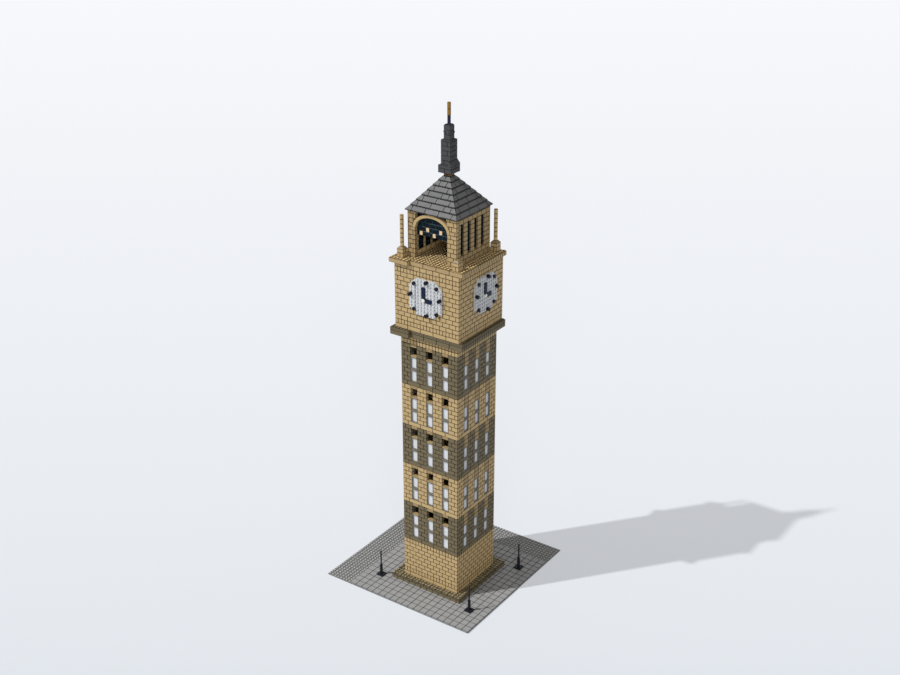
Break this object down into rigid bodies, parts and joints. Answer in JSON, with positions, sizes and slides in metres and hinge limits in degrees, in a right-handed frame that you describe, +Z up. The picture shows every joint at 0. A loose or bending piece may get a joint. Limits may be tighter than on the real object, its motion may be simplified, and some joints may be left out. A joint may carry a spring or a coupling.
{
  "type": "toy clock tower on a display base",
  "caption": "Tall square clock tower of interlocking toy bricks on a flat square base, with window columns, a dial on each face, an arched belfry, pyramid roof and spire",
  "frame": {"origin": "the centre of the underside of the square display base", "axes": "+Z up along the tower; -Y out of the face with the belfry arch; +X to the right of that face, out of the slotted face shown in the picture"},
  "size_m": [0.384, 0.384, 1.0928],
  "materials": {
    "tan_bricks": "gloss",
    "dark_tan_bricks": "gloss",
    "plinth_bricks": "gloss",
    "baseplate": "gloss",
    "paving": "gloss",
    "black_plastic": "gloss",
    "navy_bricks": "gloss",
    "white_plates": "gloss",
    "roof_slopes": "gloss",
    "gold": "gloss",
    "clear_panes": "gloss"
  },
  "bodies": {
    "root": {"base_storey": "tan_bricks", "storey_2_walls": "tan_bricks", "storey_4_walls": "tan_bricks", "shaft_frieze": "tan_bricks", "clock_chamber_walls": "tan_bricks", "upper_cornice": "tan_bricks", "belfry_deck": "tan_bricks", "belfry_front_arch": "tan_bricks", "belfry_front_piers": "tan_bricks", "belfry_slotted_walls": "tan_bricks", "belfry_skirting": "tan_bricks", "belfry_ledge_bricks": "tan_bricks", "pinnacle_bases": "tan_bricks", "pinnacle_columns": "tan_bricks", "slot_sills_and_lintels": "tan_bricks", "window_head_panels": "tan_bricks", "storey_1_walls": "dark_tan_bricks", "storey_3_walls": "dark_tan_bricks", "storey_5_walls": "dark_tan_bricks", "lower_cornice": "dark_tan_bricks", "clock_chamber_floor": "dark_tan_bricks", "spire_collar": "dark_tan_bricks", "spire_stage": "dark_tan_bricks", "spire_top": "dark_tan_bricks", "plinth": "plinth_bricks", "baseplate": "baseplate", "paving_tiles": "paving", "lamp_posts": "black_plastic", "dial_markers": "black_plastic", "window_frames": "black_plastic", "spire_rod": "black_plastic", "belfry_lining": "navy_bricks", "clock_hands": "navy_bricks", "clock_dials": "white_plates", "clock_hubs": "white_plates", "roof_course_1": "roof_slopes", "roof_course_2": "roof_slopes", "roof_course_3": "roof_slopes", "roof_course_4": "roof_slopes", "roof_course_5": "roof_slopes", "roof_course_6": "roof_slopes", "roof_course_7": "roof_slopes", "spire_neck": "gold", "gold_finial": "gold", "window_panes": "clear_panes"}
  },
  "joints": []
}
